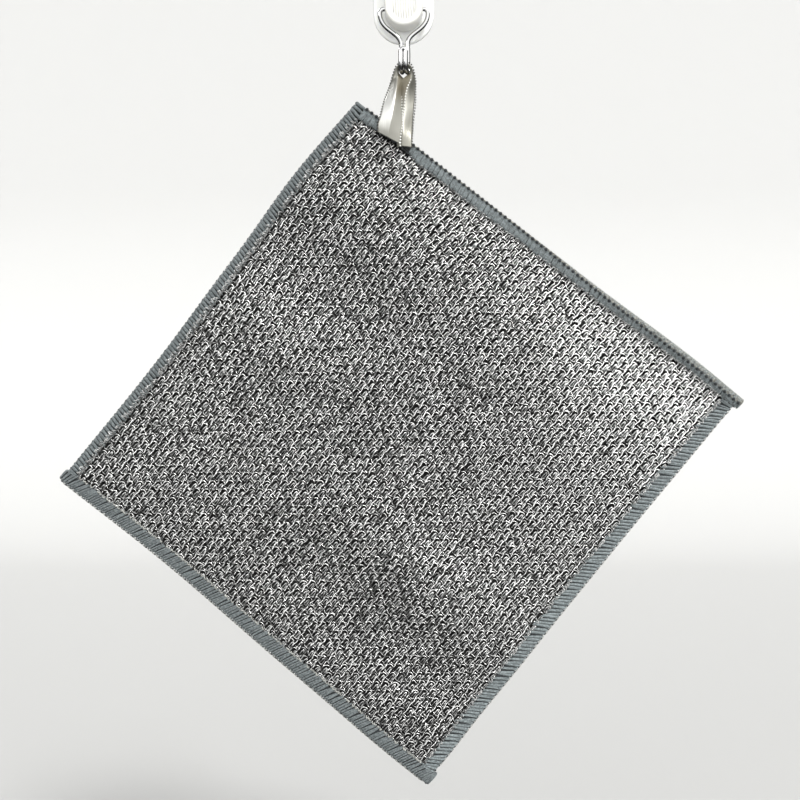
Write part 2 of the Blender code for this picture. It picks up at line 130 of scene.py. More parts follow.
def joined(parts):
    points, faces, before = [], [], 0
    for partPoints, partFaces in parts:
        points.append(partPoints)
        faces += [[corner + before for corner in face] for face in partFaces]
        before += len(partPoints)
    return np.concatenate(points), faces


def closedSheet(over, below):
    # a thin sheet from the grids of points of its two sides, closed round its rim
    index = np.arange(over[..., 0].size).reshape(over.shape[:2])
    quads = np.stack([index[:-1, :-1], index[1:, :-1], index[1:, 1:], index[:-1, 1:]], -1)
    quads = quads.reshape(-1, 4)
    rim = np.concatenate([index[0], index[1:, -1], index[-1, -2::-1], index[-2:0:-1, 0]])
    ahead = np.roll(rim, -1)
    walls = np.stack([rim, ahead, ahead + index.size, rim + index.size], -1)
    faces = np.concatenate([quads, quads[:, [0, 3, 2, 1]] + index.size, walls])
    return np.concatenate([over, below]).reshape(-1, 3), faces.tolist()


# materials; noise: fineness, detail, stretch; grain: noise, strength, depth in metres

def setInputs(node, values):
    # each value is a constant, or the output of another node to link
    for name, value in values.items():
        if isinstance(value, bpy.types.NodeSocket):
            node.id_data.links.new(value, node.inputs[name])
        else:
            node.inputs[name].default_value = value
    return node


def newMaterial(name, colour, roughness, more=None):
    material = bpy.data.materials.new(name)
    material.use_nodes = True
    shader = material.node_tree.nodes["Principled BSDF"]
    setInputs(shader, {"Base Color": (*colour, 1.0), "Roughness": roughness})
    setInputs(shader, more or {})
    return material, shader


def addNode(holder, kind, values=None, **settings):
    # holder: a material or the world
    node = holder.node_tree.nodes.new(kind)
    for name, value in settings.items():
        setattr(node, name, value)
    return setInputs(node, values or {})


def objectNoise(material, fineness, detail, stretch=None):
    place = addNode(material, "ShaderNodeTexCoord").outputs["Object"]
    if stretch:
        mapping = addNode(material, "ShaderNodeMapping", {"Vector": place, "Scale": stretch})
        place = mapping.outputs["Vector"]
    noise = {"Vector": place, "Scale": fineness, "Detail": detail}
    return addNode(material, "ShaderNodeTexNoise", noise).outputs["Fac"]


def grownAlong(material, axis, start, end, most=1.0):
    # from nothing at the start to the most at the end, by place on the object in millimetres
    place = addNode(material, "ShaderNodeTexCoord").outputs["Object"]
    parted = addNode(material, "ShaderNodeSeparateXYZ", {"Vector": place})
    grown = {"Value": parted.outputs[axis], "From Min": start * mm, "From Max": end * mm, "To Max": most}
    return addNode(material, "ShaderNodeMapRange", grown).outputs["Result"]


def colourRamp(holder, source, stops):
    ramp = addNode(holder, "ShaderNodeValToRGB", {"Fac": source})
    elements = ramp.color_ramp.elements
    while len(elements) < len(stops):
        elements.new(0.5)
    for element, (place, colour) in zip(elements, stops):
        element.position = place
        element.color = (*colour, 1.0)
    return ramp.outputs["Color"]


def addGrain(material, shader, noise, strength, depth):
    bump = {"Height": objectNoise(material, *noise), "Strength": strength, "Distance": depth}
    bump = addNode(material, "ShaderNodeBump", bump)
    setInputs(shader, {"Normal": bump.outputs["Normal"]})


def coloured(material, shader, source, stops, grain=None):
    # colour by the source between the stops, and bumps by the grain
    setInputs(shader, {"Base Color": colourRamp(material, source, stops)})
    if grain:
        addGrain(material, shader, *grain)
    return material


def mottled(name, stops, noise, roughness, more=None, grain=None):
    # coloured by noise between the stops, each a place from 0 to 1 and its colour
    material, shader = newMaterial(name, stops[-1][1], roughness, more)
    return coloured(material, shader, objectNoise(material, *noise), stops, grain)


yarn = {
    "filmMetallic": 0.80, "filmPaintedGlints": (760.0, 3.0),
    "filmStops": (0.41, 0.51),  # where the painted glints turn from dark to light
    "filmGrain": ((1700.0, 2.0), 0.5, 0.0003),
    "slateRoughness": 0.85,
    "slateLooks": {"Sheen Weight": 0.25, "Sheen Roughness": 0.5, "Specular IOR Level": 0.25},
    "slateFibres": (1300.0, 4.0), "slateStops": (0.3, 0.68),
    "slateGrain": ((3200.0, 3.0), 0.6, 0.0002),
}


def silverYarn(name, dark, light, roughness):
    # metal film wound on a thread, with painted glints: noise in its colour, bright in spots and grey
    # between
    material, shader = newMaterial(name, light, roughness, {"Metallic": yarn["filmMetallic"]})
    paintedGlints = objectNoise(material, *yarn["filmPaintedGlints"])
    # painted light: the colour grows lighter towards the right corner, by place on the object
    paintedLightGain = grownAlong(material, "X", net["paintedLightFrom"], net["paintedLightTo"], net["paintedLightGain"])
    total = addNode(material, "ShaderNodeMath", {0: paintedGlints, 1: paintedLightGain}, operation="ADD")
    stops = tuple(zip(yarn["filmStops"], (dark, light)))
    return coloured(material, shader, total.outputs["Value"], stops, yarn["filmGrain"])


def slateYarn(name, dark, light):
    stops = tuple(zip(yarn["slateStops"], (dark, light)))
    return mottled(name, stops, yarn["slateFibres"], yarn["slateRoughness"], yarn["slateLooks"],
                   yarn["slateGrain"])


# the hung cloth: u runs down the upper left side, v along the upper right side, n stands off it

cloth = {
    "side": 200.0,  # millimetres, outside the edging
    "tilt": 38.4,  # degrees that the upper right side falls from level
    "hangDepth": 11.0,  # from the wall to the middle of the sheet at its top corner
    "fullHalf": 1.0,  # half its thickness
    "pressedHalf": 0.6,  # and under the edging
    "pressedLine": 6.0,
    "fullLine": 10.0,
    "slopeStep": 0.5,
    # x, z and lift of the corners: top, left, right, bottom
    "corners": ((-18.9, -48.5, 0.0), (-143.1, -205.2, -2.5),
                (138.8, -172.2, 0.5), (8.9, -327.9, 4.0)),
    # u, v, reach along u, reach along v, rise
    "folds": ((2, 135, 26, 95, -3.6), (40, 70, 20, 70, 1.5), (98, 30, 17, 45, 2.0),
              (64, 40, 16, 40, -1.2), (139, 150, 17, 55, 2.4), (164, 140, 14, 50, -1.4),
              (183, 182, 11, 24, 1.6), (170, 45, 24, 40, 1.1)),
    "rollRise": 3.6,  # the upper right edge rolls forward towards the right corner
    "rollWidth": 13.0, "rollStart": 60.0, "rollFull": 190.0,
    # place, reach, out
    "waves": {
        "topLeft": ((40, 38, 2.3), (148, 42, -0.9)),
        "topRight": ((45, 50, 0.6), (105, 36, 1.1), (170, 40, 2.0)),
        "bottomLeft": ((55, 52, -1.9), (178, 28, 0.6)),
        "bottomRight": ((62, 75, -1.5), (140, 35, -0.4)),
    },
}
side = cloth["side"]
tilt = math.radians(cloth["tilt"])
downLeft = row(-math.sin(tilt), 0, -math.cos(tilt))
downRight = row(math.cos(tilt), 0, -math.sin(tilt))
front = row(0, -1, 0)


def cornerMix(u, v, index):
    s, t = u / side, v / side
    shares = ((1 - s) * (1 - t), s * (1 - t), (1 - s) * t, s * t)
    return sum(corner[index] * share for corner, share in zip(cloth["corners"], shares))


def rise(u, v):
    height = cornerMix(u, v, 2)
    for foldU, foldV, reachU, reachV, foldRise in cloth["folds"]:
        height = height + foldRise * bell(u - foldU, reachU) * bell(v - foldV, reachV)
    grown = ease((v - cloth["rollStart"]) / (cloth["rollFull"] - cloth["rollStart"]))
    edge = np.clip(1.0 - u / cloth["rollWidth"], 0.0, None)
    return height + cloth["rollRise"] * grown * edge ** 2


def sideWave(name, place):
    return sum(out * bell(place - middle, reach) for middle, reach, out in cloth["waves"][name])


def hang(u, v, n):
    # places in the air of points of the flat cloth, and which way its front faces there
    u, v, n = np.broadcast_arrays(u, v, n)
    s, t = (u / side)[..., None], (v / side)[..., None]
    waveU = s * sideWave("bottomLeft", v)[..., None]
    waveU = waveU - (1 - s) * sideWave("topRight", v)[..., None]
    waveV = t * sideWave("bottomRight", u)[..., None]
    waveV = waveV - (1 - t) * sideWave("topLeft", u)[..., None]
    step = cloth["slopeStep"]
    slopeU = ((rise(u + step, v) - rise(u - step, v)) / (2 * step))[..., None]
    slopeV = ((rise(u, v + step) - rise(u, v - step)) / (2 * step))[..., None]
    faces = unit(front - downLeft * slopeU - downRight * slopeV)
    flat = [cornerMix(u, v, 0), np.full(u.shape, -cloth["hangDepth"]), cornerMix(u, v, 1)]
    points = np.stack(flat, -1) + downLeft * waveU + downRight * waveV
    return points + front * rise(u, v)[..., None] + faces * n[..., None], faces


def halfThick(u, v):
    inside = np.minimum(np.minimum(u, v), np.minimum(side - u, side - v))
    grown = (inside - cloth["pressedLine"]) / (cloth["fullLine"] - cloth["pressedLine"])
    return cloth["pressedHalf"] + (cloth["fullHalf"] - cloth["pressedHalf"]) * np.clip(grown, 0, 1)


# the ground sheet inside the net, near black as painted shade deep in its holes, with faint painted
# glints

groundSheet = {
    "border": 1.4,  # how far inside the edging's outer side it ends
    "half": 0.15,
    "cells": 96,
    # near black: painted shade deep in the net's holes; the noise between the stops paints faint glints
    "stops": ((0.42, (0.003, 0.003, 0.003)), (0.66, (0.022, 0.022, 0.021))),
    "roughness": 0.9,
    "looks": {"Specular IOR Level": 0.1},
    "glints": (700.0, 2.0),
    "grain": ((500.0, 2.0), 0.8, 0.0006),
}


def buildGround():
    material = mottled("inner knit in painted shade", groundSheet["stops"], groundSheet["glints"],
                       groundSheet["roughness"], groundSheet["looks"], groundSheet["grain"])
    lines = np.linspace(groundSheet["border"], side - groundSheet["border"], groundSheet["cells"] + 1)
    u, v = np.meshgrid(lines, lines, indexing="ij")
    over, below = (hang(u, v, way * groundSheet["half"])[0] for way in (1.0, -1.0))
    piece = addPiece("clothSheet", *closedSheet(over, below), material, "wire_net")
    print("cloth sheet made")
    return piece


# the wire net: wavy ropes along the wales, with arched loops of strands in each cell between them

net = {
    "waleStep": 2.97,  # from one rope to the next, across
    "courseStep": 4.36,  # from one cell to the next, along a rope
    "stagger": 0.46,  # of a course, from one row of cells to the next
    "firstWale": 2.2,
    "border": 2.6,  # how far inside the edging's outer side the ropes end
    "margin": 0.6,  # how far ropes and loops may stray past the border
    "loopBorder": 1.7,  # no loop comes nearer to the outer side
    "sides": 3,  # flat sides of every strand
    "ropeWave": 0.22,  # how far a rope swings to each side
    "ropeHalf": 0.34,  # half its width
    "ropeHigh": 0.22,
    "ropeDeep": 0.02,  # how far it lies below the cloth's face
    "ropeLift": 0.10,  # how far it rises and falls along each cell
    "ropeTwist": 0.35, "ropeUneven": 0.16,
    "backShift": 1.1,  # of the back's ropes along the wales
    "wander": 0.16,  # unevenness of the knitting
    "thinnest": 0.6,  # share of its width that a strand keeps at least
    "strandHigh": 0.17,
    "archPower": 2.2,  # how square the loops are
    "loopUneven": (0.10, 0.10, 0.22, 0.08, 0.2, 0.15),  # drop, top, slant, shift, depth, width
    "loopCrown": 0.08,  # how much higher a loop's middle lies than its feet
    "loopTurn": 0.3,
    "sink": 0.9,  # how far it is drawn down beside the sewn ribbon
    "sinkSide": (5.3, 1.2),  # how far in from the side that reaches, and its soft edge
    "sinkSpan": (9.0, 32.0, 2.5),
    # loops of each cell: top above the cell's middle, drop of its feet, half width,
    # half the strand's width, depth below the face, shift across
    "front": ((2.05, 1.00, 1.22, 0.26, 0.08, 0.0),
              (-1.60, -0.50, 1.15, 0.17, 0.22, 0.0)),
    "inner": ((1.25, 2.90, 0.52, 0.25, 0.22, 0.38),),
    "back": ((1.9, 1.0, 1.22, 0.22, 0.10, 0.0),),
    # yarns: dark colour, light colour, roughness
    "bright": ((0.15, 0.15, 0.146), (0.98, 0.98, 0.965), 0.27),
    "dim": ((0.26, 0.26, 0.255), (0.90, 0.90, 0.885), 0.30),
    "paintedLightFrom": 10.0,  # painted light: the yarn's colour grows lighter from here to the right corner
    "paintedLightTo": 125.0,
    "paintedLightGain": 0.07,
}
# where the knit lies closer and whiter: u, v, reach along u, reach along v, how much
closer = ((8, 185, 36, 80, 0.55), (100, 30, 22, 30, 0.14), (10, 30, 16, 30, 0.20),
          (165, 25, 40, 22, 0.08), (120, 150, 25, 40, 0.10))


def sunken(u, v):
    (edge, soft), (start, end, fade) = net["sinkSide"], net["sinkSpan"]
    return ease((edge - u) / soft) * ease((v - start) / fade) * ease((end - v) / fade)


def closeness(u, v):
    return sum(much * bell(u - cu, ru) * bell(v - cv, rv) for cu, cv, ru, rv, much in closer)


def laid(u, v, n):
    # strands in the air: their paths, which way the cloth faces there, and across each strand
    paths, faces = hang(u, v, n)
    return paths, faces, np.cross(unit(np.gradient(paths, axis=1)), faces)


def faceHeight(face, u, v, n):
    return face * (n - net["sink"] * sunken(u, v) * (face > 0))


def waleCount():
    return int((side - 2 * net["firstWale"]) / net["waleStep"]) + 1


def ropes(face, steps, shiftU, seed):
    # one rope for each wale on the front (face 1) or the back (face -1) of the cloth
    rng = np.random.default_rng(seed)
    wales = waleCount()
    courses = (side - 2 * net["border"]) / net["courseStep"]
    count = int(courses * steps) + 1
    u = np.linspace(net["border"], side - net["border"], count)[None, :]
    k = np.arange(wales)[:, None]
    phase = (u - shiftU) / net["courseStep"] - net["stagger"] * k
    wave = np.cos(2 * math.pi * phase)
    wander = smoothNoise(wales, count, courses / 1.5, rng) * net["wander"]
    v = net["firstWale"] + net["waleStep"] * k + net["ropeWave"] * wave + wander
    u = np.broadcast_to(u, v.shape)
    v = np.clip(v, net["firstWale"] - net["margin"], side - net["firstWale"] + net["margin"])
    n = halfThick(u, v) - net["ropeHigh"] - net["ropeDeep"]
    n = n + net["ropeLift"] * np.cos(4 * math.pi * phase)
    paths, faces, sideways = laid(u, v, faceHeight(face, u, v, n))
    twist = smoothNoise(wales, count, courses * 1.3, rng) * net["ropeTwist"]
    lean = sideways + faces * twist[..., None]
    uneven = net["ropeUneven"] * smoothNoise(wales, count, courses * 2.1, rng)
    half = net["ropeHalf"]
    wide = np.clip(half * (1.0 + closeness(u, v) + uneven), half * net["thinnest"], None)
    return tubes(paths, lean, wide, net["ropeHigh"], net["sides"])


def knitLoops(face, kinds, steps, seed):
    # small arched strands in every cell, each from the rope on its left to the next
    rng = np.random.default_rng(seed)
    cells = []
    for k in range(waleCount() - 1):
        offset = net["stagger"] * k % 1.0
        first = math.ceil((net["border"] - net["margin"]) / net["courseStep"] - offset)
        last = int((side - net["border"] + net["margin"]) / net["courseStep"] - offset)
        middle = net["firstWale"] + net["waleStep"] * (k + 0.5)
        cells += [((j + offset) * net["courseStep"], middle) for j in range(first, last + 1)]
    cells = np.array(cells)
    cells = cells + rng.standard_normal(cells.shape) * net["wander"] * 0.7
    turn = np.linspace(-1.0, 1.0, steps + 1)[None, :]
    parts = []
    for top, drop, halfWide, strand, deep, shift in kinds:
        draws = rng.standard_normal((6, len(cells), 1))
        drops, tops, slants, shifts, depths, widths = draws * row(*net["loopUneven"])[:, None, None]
        height = top - drop * (1 + drops) * np.abs(turn) ** net["archPower"] + tops
        height = height + slants * turn * halfWide
        u = np.clip(cells[:, :1] - height, net["loopBorder"], side - net["loopBorder"])
        v = cells[:, 1:] + shift + shifts + halfWide * np.sin(turn * math.pi / 2)
        n = halfThick(u, v) - net["ropeHigh"] - deep * (1 + depths)
        n = n + net["loopCrown"] * (1 - turn ** 2)
        paths, faces, sideways = laid(u, v, faceHeight(face, u, v, n))
        lean = sideways + faces * net["loopTurn"] * draws[0][..., None]
        wide = np.clip(strand * (1 + closeness(u, v) + widths), strand * net["thinnest"], None)
        parts.append(tubes(paths, lean, wide, net["strandHigh"], net["sides"]))
    return joined(parts)


def buildNets():
    bright = silverYarn("silver film yarn", *net["bright"])
    dim = silverYarn("inner silver yarn", *net["dim"])
    made = {
        "netRopesFront": (ropes(1.0, 7, 0.0, 11), bright),
        "netLoopsFront": (knitLoops(1.0, net["front"], 4, 12), bright),
        "netLoopsInner": (knitLoops(1.0, net["inner"], 5, 13), dim),
        "netRopesBack": (ropes(-1.0, 5, net["backShift"], 14), bright),
        "netLoopsBack": (knitLoops(-1.0, net["back"], 4, 15), bright),
    }
    pieces = [addPiece(name, *mesh, material, "wire_net") for name, (mesh, material) in made.items()]
    print("wire net made")
    return pieces


# the overlocked edging, one run for each side

edging = {
    "face": 6.0,  # width of the yarn on the front and on the back
    # share of the face width in from the outer side, and height of the yarn's middle
    "section": ((1.0, 0.80), (0.86, 1.16), (0.64, 1.36), (0.38, 1.42), (0.16, 1.34), (0.07, 1.05),
                (0.035, 0.40), (0.035, -0.40), (0.07, -1.05), (0.16, -1.34), (0.38, -1.42),
                (0.64, -1.36), (0.86, -1.16), (1.0, -0.80)),
    "placeUneven": 0.04, "heightUneven": 0.03, "leanUneven": 0.12,
    "leanReach": 5.0,  # from an end to where the stitches lean in full
    "endThin": 0.72,  # share of its thickness at a stitch's inner end
    "chainStep": 2.4,  # from one chain stitch to the next
    "drawnIn": 1.1,  # how much narrower the top right run is under the ribbon
    "drawnSpan": (10.0, 36.0, 5.0, 8.0),  # from and to where, and how soft at each end
    "shadowFrom": 13.5,  # where its stitches are coloured near black, as painted shadow of the ribbon's end
    "shadowTo": 29.0,
    "underSection": ((0.84, 0.72), (0.5, 1.0), (0.15, 1.0), (0.09, 0.5),
                     (0.09, -0.5), (0.15, -1.0), (0.5, -1.0), (0.84, -0.72)),
    "loopShare": 0.8,  # of the places that have an inner loop
    "lapLength": 2.4,  # of an end that laps over its corner, and how low it gets there
    "lapLow": 0.60,
    "buttLength": 2.0,  # of an end that stops short, and how much thinner it gets
    "buttThin": 0.30,
    "gapLine": (0.35, 1.15, 50.0, 120.0),  # first inset, how much more, from where, over what length
    "rimDrifts": (0.0, 0.75, 1.5), "rimThread": (0.31, 0.24),
    # colours from dark to light
    "slate": ((0.095, 0.112, 0.115), (0.262, 0.297, 0.303)),
    # under: near black, painted shade for the undercoat, the dots and the stitches under the ribbon's
    # end
    "under": ((0.010, 0.012, 0.013), (0.035, 0.04, 0.042)),
    "pale": ((0.20, 0.20, 0.185), (0.47, 0.475, 0.445)),
    "speckled": ((0.03, 0.03, 0.027), (0.38, 0.38, 0.34)),
    "silver": ((0.13, 0.13, 0.127), (0.66, 0.66, 0.65)),
}
# covers: whether each end laps over its corner; past: how far each end reaches past its corner;
# tips: how round the ends close; lean: how far a stitch drifts along the side on its way in;
# bundle: yarns drawn together; pack: how closely; squeeze: how much closer at their inner ends;
# face: width of the yarn at the start and end of the side; reach: unevenness of its inner ends;
# swell: how much lower a bundle's outer yarns lie; tone: how far the yarn's colour is darkened, on the
# lower left run as painted shade;
# loops: spread, half width and step of the inner loops;
# rim and dots: rows of short threads: the line they follow, inset from it, height, length,
# half width, flatness, shift along the side, bow, place of the first
runs = {
    "edgingTopLeft": {
        "side": "topLeft", "node": "edging_top_left", "tone": 0.72,
        "covers": (True, False), "past": (0.3, -5.1), "tips": (0.05, 0.0),
        "lean": 1.1, "bundle": 3, "yarnStep": 0.55, "yarnHalf": 0.25, "pack": 0.88,
        "face": (5.2, 5.0), "reach": 0.15, "squeeze": 0.34, "swell": 0.09,
        "loops": (2.3, 0.16, 0.95), "rim": (),
        "dots": (("rim", 0.2, 1.0, 0.8, 0.26, 1.0, 0.0, 0.0, 1.2),)},
    "edgingBottomLeft": {
        "side": "bottomLeft", "node": "edging_bottom_left", "tone": 0.68,
        "covers": (True, True), "past": (1.5, 1.5), "tips": (0.85, 0.16),
        "lean": 2.9, "bundle": 2, "yarnStep": 0.56, "yarnHalf": 0.25, "pack": 0.58,
        "face": (6.0, 5.9), "reach": 0.035, "squeeze": 0.0, "swell": 0.02,
        "loops": (0.7, 0.19, 1.35), "rim": (("rim", -0.06, 0.45, 2.2, 0.24, 1.0, 0.0, 0.12, 4.2),),
        "dots": (("rim", 0.30, 1.30, 0.9, 0.24, 1.0, 1.2, 0.0, 1.2),)},
    "edgingBottomRight": {
        "side": "bottomRight", "node": "edging_bottom_right", "tone": 1.0,
        "covers": (False, False), "past": (-3.4, -5.1), "tips": (0.0, 0.0),
        "lean": 3.7, "bundle": 3, "yarnStep": 0.55, "yarnHalf": 0.25, "pack": 0.80,
        "face": (5.9, 6.0), "reach": 0.09, "squeeze": 0.16, "swell": 0.20,
        "loops": (1.3, 0.16, 1.2), "rim": (("rim", -0.06, 0.45, 2.2, 0.17, 1.0, 0.0, 0.12, 4.2),),
        "dots": (("rim", 0.30, 1.30, 0.9, 0.24, 1.0, 1.2, 0.0, 1.2),)},
    "edgingTopRight": {
        "side": "topRight", "node": "edging_top_right", "tone": 1.0,
        "covers": (False, True), "past": (-4.4, 1.5), "tips": (0.0, 0.05),
        "lean": 0.8, "bundle": 4, "yarnStep": 0.55, "yarnHalf": 0.26, "pack": 0.97,
        "face": (5.6, 3.9), "reach": 0.05, "squeeze": 0.05, "swell": 0.04,
        "loops": (0.7, 0.16, 1.35), "rim": (),
        "dots": (("gaps", 0.12, 1.72, 1.35, 0.80, 0.6, 0.0, 0.0, 1.2),
                 ("inner", 0.15, 0.98, 1.2, 0.25, 1.0, 0.0, 0.0, 1.2))},
}


def onSide(name, along, inset):
    if name == "topLeft":
        return along, inset
    if name == "bottomLeft":
        return side - inset, along
    if name == "bottomRight":
        return along, side - inset
    return inset, along


def hangOn(run, along, inset, height):
    return hang(*onSide(run["side"], along, inset), height)


def runEnds(run):
    return -run["past"][0], side + run["past"][1]


def closing(run, along):
    # a covering end closes in like a fingertip, a butted end only grows thinner
    across, high = np.ones_like(along), np.ones_like(along)
    aways = (along - runEnds(run)[0], runEnds(run)[1] - along)
    for away, covers, tip in zip(aways, run["covers"], run["tips"]):
        length = edging["lapLength"] if covers else edging["buttLength"]
        near = 1.0 - np.clip(away / length, 0.0, 1.0)
        if covers:
            bent = np.sqrt(1.0 - near ** 2)
            across = across * (1.0 - tip + tip * bent)
            high = high * (edging["lapLow"] + (1 - edging["lapLow"]) * bent)
        else:
            high = high * (1.0 - edging["buttThin"] * near)
    return across, high


def faceWidth(run, along):
    share = np.clip(along / side, 0.0, 1.0)
    wide = run["face"][0] + (run["face"][1] - run["face"][0]) * share
    if run["side"] == "topRight":
        start, end, softStart, softEnd = edging["drawnSpan"]
        drawn = ease((along - start) / softStart) * ease((end - along) / softEnd)
        wide = wide - edging["drawnIn"] * drawn
    return wide


def stitches(run, rng):
    start, end = runEnds(run)
    half, bundle = run["yarnHalf"], run["bundle"]
    count = int((end - start - 2 * half) / run["yarnStep"]) + 1
    index = np.arange(count)
    group = index // bundle
    groups = group.max() + 1
    middles = start + half + (group + 0.5) * bundle * run["yarnStep"]
    place = middles + (index % bundle - (bundle - 1) / 2) * run["yarnStep"] * run["pack"]
    place = place + rng.standard_normal(count) * edging["placeUneven"]
    place = np.clip(place, start + half, end - half)
    section = np.array(edging["section"])
    share = section[None, :, 0] * np.ones((count, 1))
    reach = 1.0 + run["reach"] * (rng.standard_normal(groups)[group] + 0.5 * rng.standard_normal(count))
    share = share * np.where(share > 0.5, np.clip(reach, 0.80, 1.14)[:, None], 1.0)
    fromMiddle = (index % bundle - (bundle - 1) / 2) / max(1.0, (bundle - 1) / 2)
    uneven = edging["heightUneven"] * rng.standard_normal(count)
    height = 1.0 - run["swell"] * fromMiddle ** 2 + uneven
    height = section[None, :, 1] * height[:, None]
    leans = run["lean"] * (1.0 + edging["leanUneven"] * rng.standard_normal(groups))[group]
    soft = edging["leanReach"]
    leans = leans * ease((place - start) / soft) * (0.3 + 0.7 * ease((end - place) / soft))
    drawn = -run["squeeze"] * fromMiddle * bundle / 2 * run["yarnStep"]
    along = place[:, None] + leans[:, None] * share ** 1.2 + drawn[:, None] * share
    along = np.clip(along, start + half * 0.6, end - half * 0.6)
    across, high = closing(run, place)
    wide = faceWidth(run, place)
    inset = edging["face"] / 2 + (share * wide[:, None] - edging["face"] / 2) * across[:, None]
    height = height * high[:, None]
    paths = hangOn(run, along, inset, height)[0]
    beside = hangOn(run, along + 0.5, inset, height)[0] - paths
    thin = np.where(share > 0.97, edging["endThin"], 1.0)
    return tubes(paths, beside, half * thin, half * thin, 4)


def ribbonShadowStitches(piece, run, material):
    # painted shadow: the stitches right under the ribbon's sewn end take the near-black yarn, standing
    # for the ribbon's shadow
    piece.data.materials.append(material)
    perStitch = len(edging["section"]) * 4
    count = len(piece.data.vertices) // perStitch
    start, end = runEnds(run)
    for face in piece.data.polygons:
        place = start + (end - start) * (face.vertices[0] // perStitch) / count
        if edging["shadowFrom"] < place < edging["shadowTo"]:
            face.material_index = 1


def undercoat(run):
    # a close near-black layer under the stitches: painted shade in the gaps between them
    start, end = runEnds(run)
    stations = np.linspace(start + 0.4, end - 0.4, 120)
    outline = np.array(edging["underSection"])
    across, high = closing(run, stations)
    middle = edging["face"] / 2
    inset = middle + (outline[None, :, 0] * faceWidth(run, stations)[:, None] - middle) * across[:, None]
    points, faces = loft(hangOn(run, stations[:, None], inset, outline[None, :, 1] * high[:, None])[0])
    return points, [[face[0], *face[:0:-1]] for face in faces]  # its rings run the other way round


def dotLine(along):
    # the chain of dark gaps moves in from the rim where the edge rolls forward
    inset, more, start, length = edging["gapLine"]
    return inset + more * ease((along - start) / length)


def dashes(run, rows):
    # short stretches of thread in rows, one for each chain stitch
    start, end = runEnds(run)
    share = np.linspace(-1.0, 1.0, 6)[None, :]
    swell = 1 - share ** 2
    parts = []
    for line, away, height, length, radius, flat, shift, bow, first in rows:
        places = np.arange(start + first, end - first, edging["chainStep"])[:, None] + shift
        lines = {"rim": 0.0, "gaps": dotLine(places), "inner": faceWidth(run, places)}
        inset = lines[line] + away - bow * swell
        paths, faces = hangOn(run, places + share * length / 2, inset, height)
        wide = radius * (0.45 + 0.55 * swell)
        parts.append(tubes(paths, faces, wide * flat, wide, 5))
    return joined(parts)


def rimLoops(run, rng):
    # pale loops that lie over the rim, from the chain of dark gaps round to the back
    start, end = runEnds(run)
    parts = []
    for drift in edging["rimDrifts"]:
        places = np.arange(start + 1.0, end - 1.2, edging["chainStep"])[:, None]
        places = places + 0.12 * rng.standard_normal(places.shape)
        share = np.linspace(0.0, 1.0, 8)[None, :]
        inner = dotLine(places)
        inset = np.where(share < 0.3, inner * (1 - share / 0.3), 0.0)
        height = np.where(share < 0.3, 1.55 - 0.5 * (share / 0.3) ** 2, 1.05 - 2.1 * (share - 0.3) / 0.7)
        along = places + drift + 0.9 * np.sin(share * math.pi * 0.62)
        along = np.clip(along, start + 0.4, end - 0.4)
        paths = hangOn(run, along, inset + 0.16, height)[0]
        parts.append(tubes(paths, np.broadcast_to(downRight, paths.shape), *edging["rimThread"], 5))
    return joined(parts)


def innerLoops(run, rng):
    # small loops of thread that lie over the stitches' inner ends
    spread, radius, step = run["loops"]
    start, end = runEnds(run)
    places = np.arange(max(start, 6.5), min(end, side - 6.5), step)
    places = places[rng.random(len(places)) < edging["loopShare"]]
    if run["side"] == "topRight":
        places = places[places > edging["shadowTo"] + 4.0]
    places = places[:, None]
    share = np.linspace(-1.0, 1.0, 6)[None, :]
    places = places + 0.3 * rng.standard_normal(places.shape)
    reach = spread * (0.5 + 0.6 * rng.random(places.shape))
    inset = faceWidth(run, places) + 0.35 - reach * (1 - np.abs(share) ** 2.2)
    along = places + share * (0.55 + 0.15 * rng.standard_normal(places.shape)) + 0.3 * (1 - share ** 2)
    u, v = onSide(run["side"], along, inset)
    paths, _, sideways = laid(u, v, 1.0 + 0.5 * (1 - share ** 2) ** 0.5)
    return tubes(paths, sideways, radius, radius, 4)


def buildEdging():
    dark, light = np.array(edging["slate"])
    # darker copies of the slate yarn, one for each run's tone; the lower left run's darkening is painted
    # shade
    yarns = {tone: slateYarn("slate overlock yarn", dark * tone, light * tone)
             for tone in sorted({run["tone"] for run in runs.values()})}
    under = slateYarn("slate yarn in shadow", *edging["under"])
    pale = slateYarn("pale rim yarn", *edging["pale"])
    speckled = slateYarn("speckled rim yarn", *edging["speckled"])
    silver = silverYarn("silver loops on the edging", *edging["silver"], 0.30)
    rng = np.random.default_rng(21)
    pieces = []
    for name, run in runs.items():
        piece = addPiece(name, *stitches(run, rng), yarns[run["tone"]], "edging_yarn")
        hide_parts(run["node"])
        if run["side"] == "topRight":
            ribbonShadowStitches(piece, run, under)
        made = {"Under": (undercoat(run), under, "edging_yarn")}
        if run["side"] == "topRight":
            made["Rim"] = (rimLoops(run, rng), speckled, "edging_yarn")
        elif run["rim"]:
            made["Rim"] = (dashes(run, run["rim"]), pale, "edging_yarn")
        # the dots: short threads in the near-black yarn, painted shade of the gaps in the chain
        made["Dots"] = (dashes(run, run["dots"]), under, "edging_yarn")
        loopLooks = (pale, "edging_yarn") if run["side"] == "bottomLeft" else (silver, "wire_net")
        made["Loops"] = (innerLoops(run, rng), *loopLooks)
        pieces.append(piece)
        pieces += [addPiece(name + part, *mesh, *looks) for part, (mesh, *looks) in made.items()]
    print("edging made")
    return pieces


# the satin ribbon loop

